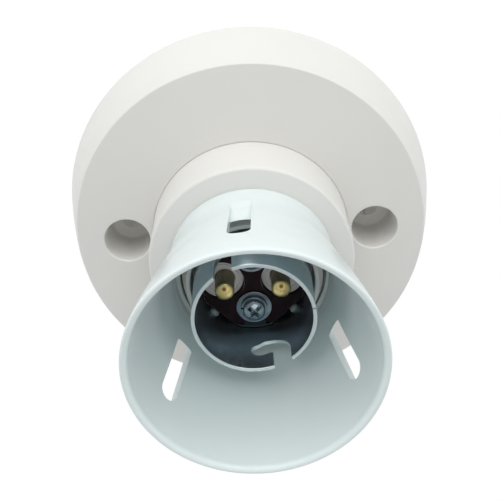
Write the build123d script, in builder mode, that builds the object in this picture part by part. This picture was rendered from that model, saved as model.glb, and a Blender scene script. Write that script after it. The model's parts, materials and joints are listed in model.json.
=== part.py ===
"""Batten lamp holder for bayonet lamps, with a long flared skirt.

The holder stands on its flat back. +Z runs along the lamp's axis out of the mouth,
and +X runs through the two fixing holes. All sizes are in millimetres.
"""
import os
from math import cos, radians, sin

from build123d import *

# Radii grow outwards from the bayonet sleeve of rolled sheet, by walls and clearances
sleeve_inner_r = 11.25
sheet = 0.75

# Base moulding: drafted wall, flat front face and raised boss
base_back_flare = 3.9
base_waist_flare = 2.0
base_waist_z = 9.0
face_rim = 5.9
face_z = 16.2
base_wall = 2.6
boss_margin = 4.3
boss_draft = 0.1
boss_z = 30.3
boss_wall = 2.6
edge_round = 0.6

# Spigot that the skirt screws on, with its floor inside
floor_z = 32.0
floor_thickness = 4.0
spigot_gap = 0.7
spigot_wall = 0.95
spigot_top_z = 39.4
thread_depth = 0.95
thread_top_z = 37.2

# Fixing holes
fixing_boss_gap = 1.0
fixing_head_r = 5.2
fixing_screw_r = 2.4
fixing_ledge_z = 4.5
pillar_wall = 2.0

# Stiffening ribs in the back of the base
rib_count = 8
rib_thickness = 1.6
rib_height = 5.0

# Plunger bosses on the spigot's floor
plunger_share = 0.507
plunger_boss_share = 0.4
plunger_boss_shift = 0.6
plunger_boss_z = 36.0
boss_groove_shift = 0.3
boss_groove_inset = 1.0
boss_groove = 0.25
plunger_bore_clearance = 0.15
shoulder_bore_r = 3.0
shoulder_stop_z = 33.4

# Plungers
plunger_r = 1.95
plunger_tip_z = 42.3
plunger_dome = 0.95
plunger_shoulder_r = 2.6
plunger_shoulder = 1.4
plunger_stop_gap = 0.1
plunger_tail_r = 1.2
plunger_tail = 3.0
plunger_dimple_r = 0.35
plunger_dimple = 0.25

# Springs behind the plungers
spring_wire = 0.55
spring_coil_r = 2.1
spring_turns = 7

# Bayonet sleeve
sleeve_mouth_z = 52.5
seam_angle = 188.7
seam_gap = 0.16
seam_tooth = 1.5
seam_tooth_shares = (0.72, 0.35)
tab_width = 4.4
tab_top_z = 37.6
tab_relief = 0.5
dimple_r = 1.1
dimple_inset = 0.15
dimple_rise = 0.7
dimple_hollow_r = 0.8

# J-slots of the sleeve, seen square to the slot's middle; depths run from the mouth
j_middle_angle = 106.0
j_half_span = 11.1
j_entry_width = 3.85
j_depth = 8.9
j_ramp_depth = 3.0
j_crest = -1.2
j_inner_depth = 4.7
j_nib_r = 0.5
j_seat_depth = 6.2
j_seat_r = 1.85

# Insulating plate on the floor, inside the sleeve
plate_sides = 8
plate_gap = 0.2
plate_boss_gap = 0.1

# Screws that clamp the sleeve, with their washers
sleeve_screw_share = 0.535
sleeve_screw_r = 1.5
screw_clearance = 0.2
flat_washer_r = 3.7
flat_washer = 0.6
spring_washer_r = 2.75
spring_washer_ring = 0.95
spring_washer = 0.7
spring_washer_gap = 0.5
screw_head_r = 2.2
screw_head = 1.5
screw_crown = 0.5
recess_width = 0.75
recess_length = 2.6
recess_depth = 0.9
recess_taper = 6
washer_edge = 0.12
screw_length = 22.0
screw_thread_fit = 0.05

# Carrier of the terminals, in the back of the boss
carrier_gap = 0.4
carrier_back_z = 13.0
carrier_shelf_z = 20.0
post_angle = -36.0
post_inset = 3.7
post_r = 2.6
post_gap = 0.3
block_screw_r = 1.2
block_screw_head_r = 2.5
block_screw_head = 1.8
block_screw_length = 12.5
pocket_gap = 0.15

# Terminals: brass blocks with a wire hole and a clamping screw
terminal_back_z = 7.0
terminal_width = 7.0
terminal_length = 8.6
terminal_inset = 2.1
earth_inset = 1.7
earth_front_z = 23.0
loop_inset = 2.1
loop_length = 6.6
wire_hole_r = 1.7
wire_hole_z = 11.0
terminal_screw_r = 1.4
terminal_screw_head_r = 2.1
terminal_screw_head = 2.0
terminal_screw_rise = 0.4
slot_width = 0.7
slot_depth = 0.8
nut_width = 5.0
nut_thickness = 2.6
terminal_round = 0.5
terminal_chamfer = 0.3
terminal_screw_bite = 0.4
earth_screw_inset = 2.9
screw_end_gap = 0.4

# Skirt: collar, flare and rounded lip
skirt_seat_gap = 0.1
thread_gap = 0.3
collar_wall = 2.7
collar_draft = 0.2
collar_top_z = 35.5
collar_inner_top_z = 38.4
flare_middle = 1.9
flare_middle_z = 46.5
flare_wall = 1.7
lip_flare = 5.95
lip_width = 1.5
lip_drop = 2.4
lip_edge_round = 0.4
skirt_front_z = 68.7

# Slots of the skirt, cut outwards from a flat floor
skirt_slot_count = 3
skirt_slot_angle = 34.5
skirt_slot_width = 4.2
skirt_slot_sink = 0.2
skirt_slot_lip_gap = 8.9
skirt_slot_collar_gap = 1.0

sleeve_outer_r = sleeve_inner_r + sheet
sleeve_middle_r = sleeve_inner_r + sheet / 2
spigot_bore_r = sleeve_outer_r + spigot_gap
spigot_r = spigot_bore_r + spigot_wall
thread_r = spigot_r + thread_depth
collar_r = thread_r + thread_gap + collar_wall
skirt_back_r = collar_r - collar_draft
flare_middle_r = collar_r + flare_middle
lip_r = collar_r + lip_flare
skirt_slot_floor_r = collar_r - skirt_slot_sink
skirt_slot_end_z = skirt_front_z - skirt_slot_lip_gap
skirt_slot_start_z = collar_inner_top_z + skirt_slot_collar_gap
boss_r = collar_r + boss_margin
boss_foot_r = boss_r + boss_draft
fixing_x = boss_r + fixing_boss_gap + fixing_head_r
fixing_spacing = 2 * fixing_x
face_r = fixing_x + fixing_head_r + face_rim
base_waist_r = face_r + base_waist_flare
base_back_r = face_r + base_back_flare
plunger_x = plunger_share * sleeve_inner_r
plunger_spacing = 2 * plunger_x
plunger_boss_r = plunger_boss_share * sleeve_inner_r
plunger_boss_spacing = 2 * (plunger_x + plunger_boss_shift)
boss_groove_spacing = 2 * (plunger_x + boss_groove_shift)
boss_groove_r = plunger_boss_r - boss_groove_inset
sleeve_screw_y = sleeve_screw_share * sleeve_inner_r
floor_back_z = floor_z - floor_thickness
boss_hollow_r = boss_r - boss_wall
cavity_top_z = face_z - base_wall
plunger_bore_r = plunger_r + plunger_bore_clearance
pillar_r = fixing_head_r + pillar_wall
carrier_r = boss_hollow_r - carrier_gap
post_x = (carrier_r - post_inset) * cos(radians(post_angle))
post_y = (carrier_r - post_inset) * sin(radians(post_angle))
terminal_inner_x = plunger_x - terminal_inset
earth_inner_y = sleeve_screw_y - earth_inset
loop_inner_y = carrier_r - loop_inset - loop_length
tab_z = tab_top_z - sheet
screw_hole_r = sleeve_screw_r + screw_clearance
post_pilot_r = block_screw_r + screw_thread_fit
tapped_r = sleeve_screw_r + screw_thread_fit
flat_washer_z = tab_top_z
spring_washer_z = flat_washer_z + flat_washer
screw_head_z = spring_washer_z + spring_washer
shoulder_front_z = shoulder_stop_z - plunger_stop_gap
shoulder_back_z = shoulder_front_z - plunger_shoulder
screw_end_z = screw_head_z - screw_length
outer_end_margin = 4.0


def base_outline():
    """Half section of the solid base, boss and spigot, before hollowing."""
    with BuildLine() as line:
        wall = Line((base_back_r, 0), (base_waist_r, base_waist_z))
        TangentArc(wall @ 1, (face_r, face_z), tangent=wall % 1)
        Polyline(
            (face_r, face_z),
            (boss_foot_r, face_z),
            (boss_r, boss_z),
            (spigot_r, boss_z),
            (spigot_r, spigot_top_z),
            (spigot_bore_r, spigot_top_z),
            (spigot_bore_r, floor_z),
            (0, floor_z),
            (0, 0),
            (base_back_r, 0),
        )
    return line.line


def base_hollow():
    """Half section of the open cavity in the back of the base."""
    with BuildLine() as line:
        Polyline(
            (base_back_r - base_wall, 0),
            (face_r - base_wall, cavity_top_z),
            (boss_hollow_r, cavity_top_z),
            (boss_hollow_r, floor_back_z),
            (0, floor_back_z),
            (0, 0),
            (base_back_r - base_wall, 0),
        )
    return line.line


def make_base():
    fixing_holes = GridLocations(fixing_spacing, 1, 2, 1)
    plungers = GridLocations(plunger_spacing, 1, 2, 1)
    posts = [(post_x, post_y), (-post_x, -post_y)]
    with BuildPart() as base_moulding:
        with BuildSketch(Plane.XZ):
            add(base_outline())
            make_face()
        revolve(axis=Axis.Z)
        with BuildSketch(Plane.XY.offset(boss_z)):
            Circle(thread_r)
            Circle(spigot_bore_r, mode=Mode.SUBTRACT)
        extrude(amount=thread_top_z - boss_z)
        with BuildSketch(Plane.XZ):
            add(base_hollow())
            make_face()
        revolve(axis=Axis.Z, mode=Mode.SUBTRACT)
        # Ribs cross the ceiling of the cavity, outside the boss
        with BuildSketch(Plane.XY.offset(cavity_top_z)):
            with PolarLocations(0, rib_count, start_angle=180 / rib_count):
                with Locations(((boss_hollow_r + face_r) / 2, 0)):
                    Rectangle(face_r - boss_hollow_r, rib_thickness)
        extrude(amount=-rib_height)
        # Pillars of the fixing holes reach the back face
        with BuildSketch():
            with fixing_holes:
                Circle(pillar_r)
        extrude(amount=cavity_top_z)
        with BuildSketch(Plane.XY.offset(floor_z)):
            with GridLocations(plunger_boss_spacing, 1, 2, 1):
                Circle(plunger_boss_r)
        extrude(amount=plunger_boss_z - floor_z)
        with BuildSketch(Plane.XY.offset(floor_back_z)):
            with Locations(*posts):
                Circle(post_r)
        extrude(amount=-(floor_back_z - carrier_shelf_z - post_gap))
        # Holes: fixing screws, plungers with their shoulders, sleeve screws and post pilots
        with Locations((fixing_x, 0, face_z), (-fixing_x, 0, face_z)):
            CounterBoreHole(fixing_screw_r, fixing_head_r, face_z - fixing_ledge_z, face_z)
        with Locations((plunger_x, 0, plunger_boss_z), (-plunger_x, 0, plunger_boss_z)):
            Hole(plunger_bore_r, plunger_boss_z - floor_back_z)
        with BuildSketch(Plane.XY.offset(floor_back_z)):
            with plungers:
                Circle(shoulder_bore_r)
        extrude(amount=shoulder_stop_z - floor_back_z, mode=Mode.SUBTRACT)
        with BuildSketch(Plane.XY.offset(plunger_boss_z)):
            with GridLocations(boss_groove_spacing, 1, 2, 1):
                Circle(boss_groove_r)
                Circle(boss_groove_r - boss_groove, mode=Mode.SUBTRACT)
        extrude(amount=-boss_groove, mode=Mode.SUBTRACT)
        with Locations((0, sleeve_screw_y, floor_z), (0, -sleeve_screw_y, floor_z)):
            Hole(screw_hole_r, floor_thickness)
        with BuildSketch(Plane.XY.offset(carrier_shelf_z)):
            with Locations(*posts):
                Circle(post_pilot_r)
        extrude(amount=floor_back_z - carrier_shelf_z, mode=Mode.SUBTRACT)
        rims = base_moulding.edges().filter_by(GeomType.CIRCLE)
        boss_rim = rims.filter_by(lambda e: abs(e.radius - boss_r) < 0.01)
        fillet(boss_rim, edge_round)
    base_moulding.part.label = "base_moulding"
    return base_moulding.part


def make_skirt():
    with BuildPart() as skirt:
        with BuildSketch(Plane.XZ):
            with BuildLine():
                back_z = boss_z + skirt_seat_gap
                rim_z = skirt_front_z - lip_edge_round
                rim_r = lip_r - lip_edge_round
                Line((skirt_back_r, back_z), (collar_r, collar_top_z))
                outside = Spline(
                    (collar_r, collar_top_z),
                    (flare_middle_r, flare_middle_z),
                    (lip_r, rim_z),
                    tangents=[(0.08, 1), (0.12, 1)],
                )
                RadiusArc(outside @ 1, (rim_r, skirt_front_z), -lip_edge_round)
                inner_round = EllipticalCenterArc(
                    (rim_r, skirt_front_z - lip_drop),
                    lip_width - lip_edge_round,
                    lip_drop,
                    start_angle=90,
                    arc_size=90,
                )
                Spline(
                    inner_round @ 1,
                    (flare_middle_r - flare_wall, flare_middle_z),
                    (collar_r - flare_wall, collar_inner_top_z),
                )
                Polyline(
                    (collar_r - flare_wall, collar_inner_top_z),
                    (thread_r + thread_gap, collar_inner_top_z - 1.0),
                    (thread_r + thread_gap, back_z),
                    (skirt_back_r, back_z),
                )
            make_face()
        revolve(axis=Axis.Z)
        end_r = skirt_slot_width / 2
        straight = skirt_slot_end_z - end_r - skirt_slot_start_z
        for index in range(skirt_slot_count):
            angle = skirt_slot_angle + index * 360 / skirt_slot_count
            way = Vector(cos(radians(angle)), sin(radians(angle)), 0)
            floor = Plane(way * skirt_slot_floor_r, x_dir=(0, 0, 1), z_dir=way)
            with BuildSketch(floor):
                with Locations((skirt_slot_start_z + straight / 2, 0)):
                    Rectangle(straight, skirt_slot_width)
                with Locations((skirt_slot_end_z - end_r, 0)):
                    Circle(end_r)
            extrude(amount=lip_r - skirt_slot_floor_r + outer_end_margin, mode=Mode.SUBTRACT)
    skirt.part.label = "skirt"
    return skirt.part


def j_slot_outline():
    """J-slot outline: first axis along the rim towards the entry, second towards the floor."""
    entry = sleeve_middle_r * sin(radians(j_half_span))
    near = entry - j_entry_width / 2
    far = entry + j_entry_width / 2
    with BuildLine() as line:
        Polyline(
            (near, j_inner_depth - j_nib_r),
            (near, -outer_end_margin),
            (far, -outer_end_margin),
            (far, j_ramp_depth),
        )
        ramp = EllipticalCenterArc(
            (j_crest, j_ramp_depth),
            far - j_crest,
            j_depth - j_ramp_depth,
            start_angle=0,
            arc_size=90,
        )
        seat = CenterArc((-entry, j_seat_depth), j_seat_r, 110, 170)
        Spline(ramp @ 1, seat @ 0, tangents=[(-1, 0), seat % 0])
        nib = RadiusArc((near - j_nib_r, j_inner_depth), (near, j_inner_depth - j_nib_r), j_nib_r)
        Spline(seat @ 1, nib @ 0, tangents=[seat % 1, (1, 0)])
    return line.line


def seam_strip():
    """Flat strip of the rolled sheet's locked seam: a thin gap that runs round two dovetail teeth."""
    angle = radians(seam_angle)
    way = Vector(cos(angle), sin(angle), 0)
    along_rim = Vector(-sin(angle), cos(angle), 0)
    length = sleeve_mouth_z - floor_z
    points = [(0, length + outer_end_margin)]
    for share in seam_tooth_shares:
        middle = share * length
        points.append((0, middle + seam_tooth * 0.6))
        points.append((seam_tooth, middle + seam_tooth))
        points.append((seam_tooth, middle - seam_tooth))
        points.append((0, middle - seam_tooth * 0.6))
    points.append((0, -outer_end_margin))
    start = way * sleeve_inner_r / 2 + Vector(0, 0, floor_z)
    with BuildSketch(Plane(start, x_dir=along_rim, z_dir=way)) as strip:
        with BuildLine():
            Polyline(*points)
        trace(line_width=seam_gap)
    return strip.sketch


def make_sleeve():
    with BuildPart() as bayonet_sleeve:
        with BuildSketch(Plane.XY.offset(floor_z)):
            Circle(sleeve_outer_r)
            Circle(sleeve_inner_r, mode=Mode.SUBTRACT)
        extrude(amount=sleeve_mouth_z - floor_z)
        for turn in (0, 180):
            angle = radians(j_middle_angle + turn)
            way = Vector(cos(angle), sin(angle), 0)
            along_rim = Vector(-sin(angle), cos(angle), 0)
            start = way * (sleeve_inner_r / 2) + Vector(0, 0, sleeve_mouth_z)
            with BuildSketch(Plane(start, x_dir=along_rim, z_dir=-way)):
                add(j_slot_outline())
                make_face()
            extrude(amount=-sleeve_inner_r, mode=Mode.SUBTRACT)
        # Openings that the tabs leave in the wall where they were bent in
        with BuildSketch(Plane.XY.offset(floor_z)):
            Rectangle(tab_width + 2 * tab_relief, 2 * (sleeve_outer_r + outer_end_margin))
        extrude(amount=tab_z - floor_z, mode=Mode.SUBTRACT)
        with BuildSketch(Plane.XY.offset(tab_z)):
            for side in (-1, 1):
                with Locations((0, side * (sleeve_screw_y + sleeve_middle_r) / 2)):
                    Rectangle(tab_width, sleeve_middle_r - sleeve_screw_y)
                with Locations((0, side * sleeve_screw_y)):
                    Circle(tab_width / 2)
            with GridLocations(1, 2 * sleeve_screw_y, 1, 2):
                Circle(screw_hole_r, mode=Mode.SUBTRACT)
        extrude(amount=sheet)
        # Dimples pressed in at the plate's rim hold it down
        dimple_z = tab_top_z + dimple_rise
        for quarter in range(4):
            angle = radians(45 + 90 * quarter)
            way = Vector(cos(angle), sin(angle), 0)
            inner = way * (sleeve_inner_r - dimple_inset) + Vector(0, 0, dimple_z)
            outer = way * (sleeve_outer_r - dimple_inset) + Vector(0, 0, dimple_z)
            with Locations(Plane(inner, z_dir=way)):
                Sphere(dimple_r)
            with Locations(Plane(outer, z_dir=way)):
                Sphere(dimple_hollow_r, mode=Mode.SUBTRACT)
        extrude(to_extrude=seam_strip(), amount=sleeve_inner_r, mode=Mode.SUBTRACT)
    bayonet_sleeve.part.label = "bayonet_sleeve"
    return bayonet_sleeve.part


def make_plate():
    plate_r = sleeve_inner_r - plate_gap
    with BuildPart() as insulating_plate:
        with BuildSketch(Plane.XY.offset(floor_z)):
            RegularPolygon(plate_r, plate_sides, rotation=180 / plate_sides)
            with GridLocations(plunger_boss_spacing, 1, 2, 1):
                Circle(plunger_boss_r + plate_boss_gap, mode=Mode.SUBTRACT)
            with GridLocations(1, 2 * sleeve_screw_y, 1, 2):
                Circle(screw_hole_r, mode=Mode.SUBTRACT)
        extrude(amount=tab_top_z - floor_z)
        # Notches that take the sleeve's tabs flush with the plate's face
        with BuildSketch(Plane.XY.offset(tab_top_z)):
            for side in (-1, 1):
                with Locations((0, side * (sleeve_screw_y + plate_r) / 2)):
                    Rectangle(tab_width, plate_r - sleeve_screw_y)
                with Locations((0, side * sleeve_screw_y)):
                    Circle(tab_width / 2)
        extrude(amount=-sheet, mode=Mode.SUBTRACT)
    insulating_plate.part.label = "insulating_plate"
    return insulating_plate.part


def make_plunger(x, label):
    with BuildPart() as plunger:
        with BuildSketch(Plane.XZ):
            with BuildLine():
                EllipticalCenterArc(
                    (0, plunger_tip_z - plunger_dome),
                    plunger_r,
                    plunger_dome,
                    start_angle=0,
                    arc_size=90,
                )
                Polyline(
                    (plunger_r, plunger_tip_z - plunger_dome),
                    (plunger_r, shoulder_front_z),
                    (plunger_shoulder_r, shoulder_front_z),
                    (plunger_shoulder_r, shoulder_back_z),
                    (plunger_tail_r, shoulder_back_z),
                    (plunger_tail_r, shoulder_back_z - plunger_tail),
                    (0, shoulder_back_z - plunger_tail),
                    (0, plunger_tip_z),
                )
            make_face()
        revolve(axis=Axis.Z)
        with Locations((0, 0, plunger_tip_z)):
            Cylinder(plunger_dimple_r, 2 * plunger_dimple, mode=Mode.SUBTRACT)
    part = plunger.part.moved(Location((x, 0, 0)))
    part.label = label
    return part


def make_spring(x, label):
    """Coil between the terminal's front face and the plunger's shoulder."""
    height = shoulder_back_z - carrier_shelf_z - spring_wire
    pitch = height / spring_turns
    with BuildPart() as spring:
        with BuildLine(Plane.XY.offset(carrier_shelf_z + spring_wire / 2)) as coil:
            Helix(pitch, height, spring_coil_r)
        with BuildSketch(Plane(coil.line @ 0, z_dir=coil.line % 0)):
            Circle(spring_wire / 2)
        sweep(path=coil.line, is_frenet=True)
    part = spring.part.moved(Location((x, 0, 0)))
    part.label = label
    return part


def make_carrier():
    post_places = [(post_x, post_y), (-post_x, -post_y)]
    with BuildPart() as terminal_block:
        with BuildSketch(Plane.XY.offset(carrier_back_z)):
            Circle(carrier_r)
        extrude(amount=floor_back_z - carrier_back_z)
        with BuildSketch(Plane.XY.offset(carrier_shelf_z)):
            with GridLocations(plunger_spacing, 1, 2, 1):
                Circle(shoulder_bore_r)
            with Locations(*post_places):
                Circle(post_r + post_gap)
        extrude(amount=floor_back_z - carrier_shelf_z, mode=Mode.SUBTRACT)
        with BuildSketch(Plane.XY.offset(carrier_back_z)):
            with Locations(*post_places):
                Circle(block_screw_r + screw_clearance)
            with GridLocations(1, 2 * sleeve_screw_y, 1, 2):
                Circle(screw_hole_r)
        extrude(amount=floor_back_z - carrier_back_z, mode=Mode.SUBTRACT)
        # Pockets that hold the terminals and the nut from behind
        with BuildSketch(Plane.XY.offset(carrier_back_z)):
            middle_x = terminal_inner_x + terminal_length / 2
            with GridLocations(2 * middle_x, 1, 2, 1):
                Rectangle(terminal_length + 2 * pocket_gap, terminal_width + 2 * pocket_gap)
            with Locations((0, -(loop_inner_y + loop_length / 2))):
                Rectangle(terminal_width + 2 * pocket_gap, loop_length + 2 * pocket_gap)
            with Locations((0, -sleeve_screw_y)):
                Rectangle(nut_width + 2 * pocket_gap, nut_width + 2 * pocket_gap)
        extrude(amount=carrier_shelf_z - carrier_back_z, mode=Mode.SUBTRACT)
        with BuildSketch(Plane.XY.offset(carrier_back_z)):
            with Locations((0, earth_inner_y + terminal_length / 2)):
                Rectangle(terminal_width + 2 * pocket_gap, terminal_length + 2 * pocket_gap)
        extrude(amount=earth_front_z - carrier_back_z, mode=Mode.SUBTRACT)
    terminal_block.part.label = "terminal_block"
    return terminal_block.part


def make_terminal(label, x, y, size_x, size_y, front_z, screw_y):
    """Brass block with a cross hole for wires and a tapped hole behind it for the clamping screw."""
    with BuildPart() as terminal:
        with BuildSketch(Plane.XY.offset(terminal_back_z)):
            with Locations((x, y)):
                RectangleRounded(size_x, size_y, terminal_round)
        extrude(amount=front_z - terminal_back_z)
        back_rim = terminal.faces().sort_by(Axis.Z)[0].edges()
        chamfer(back_rim, terminal_chamfer)
        with BuildSketch(Plane.XY.offset(terminal_back_z)):
            with Locations((x, screw_y)):
                Circle(terminal_screw_r + screw_thread_fit)
        extrude(amount=wire_hole_z - terminal_back_z, mode=Mode.SUBTRACT)
        with BuildSketch(Plane((x, screw_y, wire_hole_z), z_dir=(1, 0, 0))):
            Circle(wire_hole_r)
        extrude(amount=size_x + size_y, both=True, mode=Mode.SUBTRACT)
        if front_z > carrier_shelf_z:
            # The earthed block also takes the sleeve's screw from the front
            with BuildSketch(Plane.XY.offset(front_z)):
                with Locations((0, sleeve_screw_y)):
                    Circle(tapped_r)
            extrude(amount=-(front_z - screw_end_z + screw_end_gap), mode=Mode.SUBTRACT)
    terminal.part.label = label
    return terminal.part


def make_nut():
    with BuildPart() as clamp_nut:
        with BuildSketch(Plane.XY.offset(carrier_shelf_z - nut_thickness)):
            with Locations((0, -sleeve_screw_y)):
                RectangleRounded(nut_width, nut_width, terminal_round)
                Circle(tapped_r, mode=Mode.SUBTRACT)
        extrude(amount=nut_thickness)
    clamp_nut.part.label = "clamp_nut"
    return clamp_nut.part


def make_sleeve_screws():
    with BuildPart() as sleeve_screws:
        with BuildSketch(Plane.XY.offset(screw_end_z)):
            with GridLocations(1, 2 * sleeve_screw_y, 1, 2):
                Circle(sleeve_screw_r)
        extrude(amount=screw_length)
        with BuildSketch(Plane.XY.offset(screw_head_z)):
            with GridLocations(1, 2 * sleeve_screw_y, 1, 2):
                Circle(screw_head_r)
        extrude(amount=screw_head)
        head_top_z = screw_head_z + screw_head
        crowns = sleeve_screws.edges().filter_by(GeomType.CIRCLE).group_by(Axis.Z)[-1]
        fillet(crowns, screw_crown)
        with BuildSketch(Plane.XY.offset(head_top_z)):
            with GridLocations(1, 2 * sleeve_screw_y, 1, 2):
                Rectangle(recess_length, recess_width)
                Rectangle(recess_width, recess_length)
        extrude(amount=-recess_depth, taper=recess_taper, mode=Mode.SUBTRACT)
    sleeve_screws.part.label = "sleeve_screws"
    return sleeve_screws.part


def make_flat_washers():
    with BuildPart() as flat_washers:
        with BuildSketch(Plane.XY.offset(flat_washer_z)):
            with GridLocations(1, 2 * sleeve_screw_y, 1, 2):
                Circle(flat_washer_r)
                Circle(screw_hole_r, mode=Mode.SUBTRACT)
        extrude(amount=flat_washer)
        rims = flat_washers.edges().filter_by(GeomType.CIRCLE)
        chamfer(rims.filter_by(lambda e: e.radius > flat_washer_r - 0.01), washer_edge)
    flat_washers.part.label = "flat_washers"
    return flat_washers.part


def make_spring_washers():
    with BuildPart() as spring_washers:
        with BuildSketch(Plane.XY.offset(spring_washer_z)):
            with GridLocations(1, 2 * sleeve_screw_y, 1, 2):
                Circle(spring_washer_r)
                Circle(spring_washer_r - spring_washer_ring, mode=Mode.SUBTRACT)
            with Locations(*[(spring_washer_r, side * sleeve_screw_y) for side in (-1, 1)]):
                Rectangle(2 * spring_washer_r, spring_washer_gap, mode=Mode.SUBTRACT)
        extrude(amount=spring_washer)
    spring_washers.part.label = "spring_washers"
    return spring_washers.part


def make_slotted_screws(label, places, shank_r, head_r, head, head_z, length):
    """Like screws with slotted heads towards the back; head_z is under the head."""
    with BuildPart() as screws:
        with BuildSketch(Plane.XY.offset(head_z - head)):
            with Locations(*places):
                Circle(head_r)
        extrude(amount=head)
        backs = screws.edges().filter_by(GeomType.CIRCLE).group_by(Axis.Z)[0]
        fillet(backs, screw_crown / 2)
        with BuildSketch(Plane.XY.offset(head_z - head)):
            with Locations(*places):
                Rectangle(2 * head_r, slot_width)
        extrude(amount=slot_depth, mode=Mode.SUBTRACT)
        with BuildSketch(Plane.XY.offset(head_z)):
            with Locations(*places):
                Circle(shank_r)
        extrude(amount=length)
    screws.part.label = label
    return screws.part


def make_all():
    """Every piece, each in its own node."""
    side_x = terminal_inner_x + terminal_length / 2
    earth_y = earth_inner_y + terminal_length / 2
    earth_screw_y = earth_inner_y + terminal_length - earth_screw_inset
    loop_y = -(loop_inner_y + loop_length / 2)
    front = carrier_shelf_z
    terminal_places = [(side_x, 0), (-side_x, 0), (0, earth_screw_y), (0, loop_y)]
    shank = wire_hole_z - wire_hole_r + terminal_screw_bite - terminal_back_z + terminal_screw_rise
    posts = [(post_x, post_y), (-post_x, -post_y)]
    return [
        make_base(),
        make_skirt(),
        make_sleeve(),
        make_plate(),
        make_plunger(plunger_x, "plunger_left"),
        make_plunger(-plunger_x, "plunger_right"),
        make_spring(plunger_x, "plunger_spring_left"),
        make_spring(-plunger_x, "plunger_spring_right"),
        make_carrier(),
        make_terminal("terminal_line", side_x, 0, terminal_length, terminal_width, front, 0),
        make_terminal("terminal_neutral", -side_x, 0, terminal_length, terminal_width, front, 0),
        make_terminal(
            "terminal_earth", 0, earth_y, terminal_width, terminal_length, earth_front_z, earth_screw_y
        ),
        make_terminal("terminal_loop", 0, loop_y, terminal_width, loop_length, front, loop_y),
        make_nut(),
        make_sleeve_screws(),
        make_flat_washers(),
        make_spring_washers(),
        make_slotted_screws(
            "terminal_screws",
            terminal_places,
            terminal_screw_r,
            terminal_screw_head_r,
            terminal_screw_head,
            terminal_back_z - terminal_screw_rise,
            shank,
        ),
        make_slotted_screws(
            "block_screws",
            posts,
            block_screw_r,
            block_screw_head_r,
            block_screw_head,
            carrier_back_z,
            block_screw_length,
        ),
    ]


os.makedirs("parts", exist_ok=True)
for piece in make_all():
    export_step(piece, f"parts/{piece.label}.step")
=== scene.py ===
"""Looks of a batten lamp holder for bayonet lamps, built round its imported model.

Geometry is worked out in millimetres and written in metres. The holder stands on its flat
back, +Z runs out of its mouth and +X runs through its two fixing holes.
"""
import json
from math import atan2, cos, pi, radians, sin

import bmesh
import bpy
from mathutils import Matrix, Vector


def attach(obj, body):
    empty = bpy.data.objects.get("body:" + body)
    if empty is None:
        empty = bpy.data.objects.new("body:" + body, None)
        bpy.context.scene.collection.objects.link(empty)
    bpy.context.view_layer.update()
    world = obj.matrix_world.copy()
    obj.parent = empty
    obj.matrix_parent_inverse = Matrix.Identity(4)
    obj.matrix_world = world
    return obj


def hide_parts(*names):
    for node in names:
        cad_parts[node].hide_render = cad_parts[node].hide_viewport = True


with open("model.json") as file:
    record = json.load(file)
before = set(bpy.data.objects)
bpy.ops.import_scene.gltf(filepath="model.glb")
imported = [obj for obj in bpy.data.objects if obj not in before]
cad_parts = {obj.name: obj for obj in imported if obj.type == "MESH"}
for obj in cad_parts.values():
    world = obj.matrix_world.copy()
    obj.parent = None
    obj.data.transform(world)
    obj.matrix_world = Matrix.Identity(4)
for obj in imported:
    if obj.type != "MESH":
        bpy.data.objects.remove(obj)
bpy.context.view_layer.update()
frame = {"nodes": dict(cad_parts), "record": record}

MM = 0.001

# Camera, fitted to the circles of the photograph
CAMERA_ELEVATION = radians(62.35)
CAMERA_ROLL = radians(-1.9)
CAMERA_AZIMUTH = radians(-1.3)
CAMERA_DISTANCE = 185.0
CAMERA_AIM = (0.32, 0.0, 24.05)
SENSOR_WIDTH = 36.0
CAMERA_LENS = 60.86

# Lamps, surroundings and floor
KEY_PLACE = (0.0, -0.7, 0.22)
KEY_AIM = (0.0, 0.0, 0.03)
KEY_SIZE = 0.9
KEY_POWER = 4.1
OVERHEAD_PLACE = (-0.05, -0.05, 0.65)
OVERHEAD_AIM = (0.0, 0.0, 0.04)
OVERHEAD_SIZE = 0.3
OVERHEAD_POWER = 0.3
SKY_COLOUR = (0.955, 0.985, 1.0)
SKY_AT_HORIZON = 1.1
SKY_OVERHEAD = 0.28
FLOOR_REACH = 3000
FLOOR_Z = -0.05
FLOOR_GLOW = 1.05
FLOOR_GLOW_SHARE = 0.9

# Smoothness of turned forms
AROUND = 256
AROUND_BOSS = 128
AROUND_HOLE = 96
AROUND_SMALL = 64
AROUND_FINE = 48
AROUND_HOLLOW = 40
AROUND_PILOT = 32
ARC_STEP = radians(9)
SMOOTH_BELOW = radians(32)
THREAD_SMOOTH_BELOW = radians(40)
BEVEL_ABOVE = radians(40)
MERGE_REACH = 0.004
SLIVER = 0.002

# Cutters run past the faces that they cut, and joined pieces run into each other
OVERSHOOT = 4.0
PAST = 1.0
INTO = 0.5

# Radii grow outwards from the bayonet sleeve of rolled sheet, as in the model
sleeve_inner_r = 11.25
sheet = 0.75
sleeve_outer_r = sleeve_inner_r + sheet
spigot_bore_r = sleeve_outer_r + 0.7
spigot_r = spigot_bore_r + 0.95
collar_r = spigot_r + 3.95
boss_r = collar_r + 4.3
fixing_head_r = 5.2
fixing_x = boss_r + 1.0 + fixing_head_r
face_r = fixing_x + fixing_head_r + 5.9

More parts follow.
